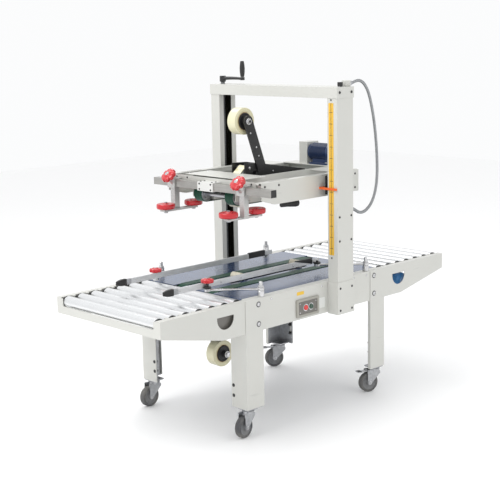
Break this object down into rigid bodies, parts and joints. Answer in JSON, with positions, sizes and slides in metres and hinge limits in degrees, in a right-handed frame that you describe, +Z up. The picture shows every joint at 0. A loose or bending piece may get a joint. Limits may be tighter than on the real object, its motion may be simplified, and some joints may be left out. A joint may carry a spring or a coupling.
{
  "type": "carton sealer machine",
  "caption": "Semi-automatic carton sealer: belt drives above and below a carton, tape cartridges, crank-raised head and roller tables on castor legs.",
  "frame": {"origin": "on the floor below the bed's centre", "axes": "+X from the infeed table to the outfeed table, +Z up, near side with the switch at -Y"},
  "size_m": [1.836, 0.814, 1.568],
  "materials": {
    "white_paint": "satin powder coat",
    "blue_steel": "satin",
    "zinc_steel": "zinc plated",
    "roller_chrome": "bright zinc",
    "castor_rubber": "matt",
    "pedal_steel": "satin",
    "black_plastic": "moulded",
    "belt_green": "rough top",
    "switch_grey": "moulded",
    "button_red": "moulded",
    "button_green": "moulded",
    "red_plastic": "moulded",
    "motor_navy": "semi-gloss",
    "carriage_aluminium": "satin",
    "black_paint": "satin",
    "tape_film": "clear film on a roll",
    "conduit_grey": "ribbed"
  },
  "bodies": {
    "frame": {"side_panels": "white_paint", "bed_plates": "blue_steel", "bed_frame": "zinc_steel", "roller_tables": "white_paint", "table_rollers": "roller_chrome", "outer_legs": "white_paint", "columns": "white_paint", "crossbeam": "white_paint", "switch_box": "switch_grey", "frame_hardware": "zinc_steel", "conduit": "conduit_grey", "lower_belts": "belt_green", "lower_cartridge": "black_paint"},
    "legs": {"inner_legs": "zinc_steel"},
    "castor_1": {"castor_fork_1": "zinc_steel"},
    "wheel_1": {"castor_wheel_1": "castor_rubber"},
    "castor_2": {"castor_fork_2": "zinc_steel"},
    "wheel_2": {"castor_wheel_2": "castor_rubber"},
    "castor_3": {"castor_fork_3": "zinc_steel"},
    "wheel_3": {"castor_wheel_3": "castor_rubber"},
    "pedal_3": {"brake_pedal_3": "pedal_steel"},
    "castor_4": {"castor_fork_4": "zinc_steel"},
    "wheel_4": {"castor_wheel_4": "castor_rubber"},
    "pedal_4": {"brake_pedal_4": "pedal_steel"},
    "crank": {"lead_screw_far": "zinc_steel", "crank_arm": "black_plastic"},
    "grip": {"crank_grip": "black_plastic"},
    "near_screw": {"lead_screw_near": "zinc_steel"},
    "head": {"head_frame": "white_paint", "head_motor": "motor_navy", "upper_belts": "belt_green", "upper_cartridge": "black_paint"},
    "lower_drive": {"lower_drive_shaft": "zinc_steel"},
    "lower_idler": {"lower_idler_shaft": "zinc_steel"},
    "upper_drive": {"upper_drive_shaft": "zinc_steel"},
    "upper_idler": {"upper_idler_shaft": "zinc_steel"},
    "stop": {"stop_button": "button_red"},
    "start": {"start_button": "button_green"},
    "front_arm_near": {"guide_arm_near_front": "zinc_steel"},
    "rear_arm_near": {"guide_arm_near_rear": "zinc_steel"},
    "rail_near": {"guide_rail_near": "zinc_steel"},
    "guide_knob_near": {"guide_knob_near": "red_plastic"},
    "front_arm_far": {"guide_arm_far_front": "zinc_steel"},
    "rear_arm_far": {"guide_arm_far_rear": "zinc_steel"},
    "rail_far": {"guide_rail_far": "zinc_steel"},
    "guide_knob_far": {"guide_knob_far": "red_plastic"},
    "carriage_near": {"carriage_near": "carriage_aluminium"},
    "carriage_knob_near": {"carriage_knob_near": "red_plastic"},
    "press_near_front": {"press_roller_near_front": "red_plastic"},
    "press_near_rear": {"press_roller_near_rear": "red_plastic"},
    "carriage_far": {"carriage_far": "carriage_aluminium"},
    "carriage_knob_far": {"carriage_knob_far": "red_plastic"},
    "press_far_front": {"press_roller_far_front": "red_plastic"},
    "press_far_rear": {"press_roller_far_rear": "red_plastic"},
    "upper_tape": {"upper_tape_roll": "tape_film"},
    "upper_front_wiper": {"upper_front_arm": "zinc_steel"},
    "upper_rear_wiper": {"upper_rear_arm": "zinc_steel"},
    "lower_tape": {"lower_tape_roll": "tape_film"},
    "lower_front_wiper": {"lower_front_arm": "zinc_steel"},
    "lower_rear_wiper": {"lower_rear_arm": "zinc_steel"}
  },
  "joints": [
    {"name": "leg_extension", "type": "slide", "parent": "frame", "child": "legs", "axis": [0, 0, -1], "range_m": [0, 0.15]},
    {"name": "castor_1_swivel", "type": "hinge", "parent": "legs", "child": "castor_1", "pos_m": [-0.422, -0.312, 0.112], "axis": [0, 0, 1], "continuous": true},
    {"name": "wheel_1_roll", "type": "hinge", "parent": "castor_1", "child": "wheel_1", "pos_m": [-0.45369, -0.31645, 0.0475], "axis": [-0.1392, 0.9903, 0], "continuous": true},
    {"name": "castor_2_swivel", "type": "hinge", "parent": "legs", "child": "castor_2", "pos_m": [-0.422, 0.312, 0.112], "axis": [0, 0, 1], "continuous": true},
    {"name": "wheel_2_roll", "type": "hinge", "parent": "castor_2", "child": "wheel_2", "pos_m": [-0.454, 0.312, 0.0475], "axis": [0, 1, 0], "continuous": true},
    {"name": "castor_3_swivel", "type": "hinge", "parent": "legs", "child": "castor_3", "pos_m": [0.422, -0.312, 0.112], "axis": [0, 0, 1], "continuous": true},
    {"name": "wheel_3_roll", "type": "hinge", "parent": "castor_3", "child": "wheel_3", "pos_m": [0.39193, -0.30106, 0.0475], "axis": [0.342, 0.9397, 0], "continuous": true},
    {"name": "pedal_3_press", "type": "hinge", "parent": "castor_3", "child": "pedal_3", "pos_m": [0.38723, -0.29935, 0.104], "axis": [-0.342, -0.9397, 0], "range_deg": [0, 12]},
    {"name": "castor_4_swivel", "type": "hinge", "parent": "legs", "child": "castor_4", "pos_m": [0.422, 0.312, 0.112], "axis": [0, 0, 1], "continuous": true},
    {"name": "wheel_4_roll", "type": "hinge", "parent": "castor_4", "child": "wheel_4", "pos_m": [0.39429, 0.328, 0.0475], "axis": [0.5, 0.866, 0], "continuous": true},
    {"name": "pedal_4_press", "type": "hinge", "parent": "castor_4", "child": "pedal_4", "pos_m": [0.38996, 0.3305, 0.104], "axis": [-0.5, -0.866, 0], "range_deg": [0, 12]},
    {"name": "crank_turn", "type": "hinge", "parent": "frame", "child": "crank", "pos_m": [0.117, 0.3715, 1.46], "axis": [0, 0, 1], "range_deg": [-7930, 5050]},
    {"name": "grip_spin", "type": "hinge", "parent": "crank", "child": "grip", "pos_m": [0.117, 0.2365, 1.526], "axis": [0, 0, 1], "continuous": true},
    {"name": "near_screw_turn", "type": "hinge", "parent": "frame", "child": "near_screw", "pos_m": [0.117, -0.3715, 1.46], "axis": [0, 0, 1], "range_deg": [-7930, 5050]},
    {"name": "head_lift", "type": "slide", "parent": "frame", "child": "head", "axis": [0, 0, 1], "range_m": [-0.22, 0.14]},
    {"name": "lower_drive_spin", "type": "hinge", "parent": "frame", "child": "lower_drive", "pos_m": [0.395, 0, 0.567], "axis": [0, 1, 0], "continuous": true},
    {"name": "lower_idler_spin", "type": "hinge", "parent": "frame", "child": "lower_idler", "pos_m": [-0.395, 0, 0.567], "axis": [0, 1, 0], "continuous": true},
    {"name": "upper_drive_spin", "type": "hinge", "parent": "head", "child": "upper_drive", "pos_m": [0.285, 0, 0.996], "axis": [0, 1, 0], "continuous": true},
    {"name": "upper_idler_spin", "type": "hinge", "parent": "head", "child": "upper_idler", "pos_m": [-0.273, 0, 0.996], "axis": [0, 1, 0], "continuous": true},
    {"name": "stop_press", "type": "slide", "parent": "frame", "child": "stop", "axis": [0, 1, 0], "range_m": [0, 0.004], "stiffness_N_per_m": 400, "springref_m": -0.002},
    {"name": "start_press", "type": "slide", "parent": "frame", "child": "start", "axis": [0, 1, 0], "range_m": [0, 0.004], "stiffness_N_per_m": 400, "springref_m": -0.002},
    {"name": "guide_near_swing", "type": "hinge", "parent": "frame", "child": "front_arm_near", "pos_m": [-0.345, -0.325, 0.627], "axis": [0, 0, 1], "range_deg": [-34, 26]},
    {"name": "rail_near_pivot", "type": "hinge", "parent": "front_arm_near", "child": "rail_near", "pos_m": [-0.50809, -0.17, 0.627], "axis": [0, 0, 1], "range_deg": [-26.5, 34.5]},
    {"name": "rear_arm_near_swing", "type": "hinge", "parent": "frame", "child": "rear_arm_near", "pos_m": [0.345, -0.325, 0.627], "axis": [0, 0, 1], "range_deg": [-34.5, 26.5]},
    {"name": "guide_knob_near_turn", "type": "hinge", "parent": "rail_near", "child": "guide_knob_near", "pos_m": [-0.50809, -0.17, 0.667], "axis": [0, 0, 1], "range_deg": [0, 360]},
    {"name": "guide_far_swing", "type": "hinge", "parent": "frame", "child": "front_arm_far", "pos_m": [-0.345, 0.325, 0.627], "axis": [0, 0, -1], "range_deg": [-34, 26]},
    {"name": "rail_far_pivot", "type": "hinge", "parent": "front_arm_far", "child": "rail_far", "pos_m": [-0.50809, 0.17, 0.627], "axis": [0, 0, -1], "range_deg": [-26.5, 34.5]},
    {"name": "rear_arm_far_swing", "type": "hinge", "parent": "frame", "child": "rear_arm_far", "pos_m": [0.345, 0.325, 0.627], "axis": [0, 0, -1], "range_deg": [-34.5, 26.5]},
    {"name": "guide_knob_far_turn", "type": "hinge", "parent": "rail_far", "child": "guide_knob_far", "pos_m": [-0.50809, 0.17, 0.667], "axis": [0, 0, 1], "range_deg": [0, 360]},
    {"name": "carriage_near_slide", "type": "slide", "parent": "head", "child": "carriage_near", "axis": [0, 1, 0], "range_m": [-0.085, 0.085]},
    {"name": "carriage_knob_near_turn", "type": "hinge", "parent": "carriage_near", "child": "carriage_knob_near", "pos_m": [-0.334, -0.223, 1.042], "axis": [-0.7071, 0, 0.7071], "range_deg": [0, 360]},
    {"name": "press_near_front_spin", "type": "hinge", "parent": "carriage_near", "child": "press_near_front", "pos_m": [-0.408, -0.203, 0.944], "axis": [0, 0, 1], "continuous": true},
    {"name": "press_near_rear_spin", "type": "hinge", "parent": "carriage_near", "child": "press_near_rear", "pos_m": [-0.243, -0.203, 0.944], "axis": [0, 0, 1], "continuous": true},
    {"name": "carriage_far_slide", "type": "slide", "parent": "head", "child": "carriage_far", "axis": [0, -1, 0], "range_m": [-0.085, 0.085]},
    {"name": "carriage_knob_far_turn", "type": "hinge", "parent": "carriage_far", "child": "carriage_knob_far", "pos_m": [-0.334, 0.223, 1.042], "axis": [-0.7071, 0, 0.7071], "range_deg": [0, 360]},
    {"name": "press_far_front_spin", "type": "hinge", "parent": "carriage_far", "child": "press_far_front", "pos_m": [-0.408, 0.203, 0.944], "axis": [0, 0, 1], "continuous": true},
    {"name": "press_far_rear_spin", "type": "hinge", "parent": "carriage_far", "child": "press_far_rear", "pos_m": [-0.243, 0.203, 0.944], "axis": [0, 0, 1], "continuous": true},
    {"name": "upper_tape_spin", "type": "hinge", "parent": "head", "child": "upper_tape", "pos_m": [-0.128, 0, 1.313], "axis": [0, 1, 0], "continuous": true},
    {"name": "upper_front_wiper_swing", "type": "hinge", "parent": "head", "child": "upper_front_wiper", "pos_m": [-0.04, 0, 1.02], "axis": [0, 1, 0], "range_deg": [0, 14], "stiffness_Nm_per_rad": 6, "springref_deg": -28.65},
    {"name": "upper_rear_wiper_swing", "type": "hinge", "parent": "head", "child": "upper_rear_wiper", "pos_m": [0.1, 0, 1.02], "axis": [0, 1, 0], "range_deg": [-14.5, 0.5]},
    {"name": "lower_tape_spin", "type": "hinge", "parent": "frame", "child": "lower_tape", "pos_m": [-0.291, 0, 0.281], "axis": [0, 1, 0], "continuous": true},
    {"name": "lower_front_wiper_swing", "type": "hinge", "parent": "frame", "child": "lower_front_wiper", "pos_m": [-0.04, 0, 0.543], "axis": [0, -1, 0], "range_deg": [0, 14], "stiffness_Nm_per_rad": 6, "springref_deg": -28.65},
    {"name": "lower_rear_wiper_swing", "type": "hinge", "parent": "frame", "child": "lower_rear_wiper", "pos_m": [0.1, 0, 0.543], "axis": [0, -1, 0], "range_deg": [-14.5, 0.5]}
  ],
  "couplings": [
    {"joint": "crank_turn", "follows": "head_lift", "rad_per_m": 628.32},
    {"joint": "near_screw_turn", "follows": "head_lift", "rad_per_m": 628.32},
    {"joint": "lower_idler_spin", "follows": "lower_drive_spin", "ratio": 1},
    {"joint": "upper_idler_spin", "follows": "upper_drive_spin", "ratio": 1},
    {"joint": "rail_near_pivot", "follows": "guide_near_swing", "ratio": -1},
    {"joint": "rear_arm_near_swing", "follows": "guide_near_swing", "ratio": 1},
    {"joint": "rail_far_pivot", "follows": "guide_far_swing", "ratio": -1},
    {"joint": "rear_arm_far_swing", "follows": "guide_far_swing", "ratio": 1},
    {"joint": "upper_rear_wiper_swing", "follows": "upper_front_wiper_swing", "ratio": -1},
    {"joint": "lower_rear_wiper_swing", "follows": "lower_front_wiper_swing", "ratio": -1}
  ]
}
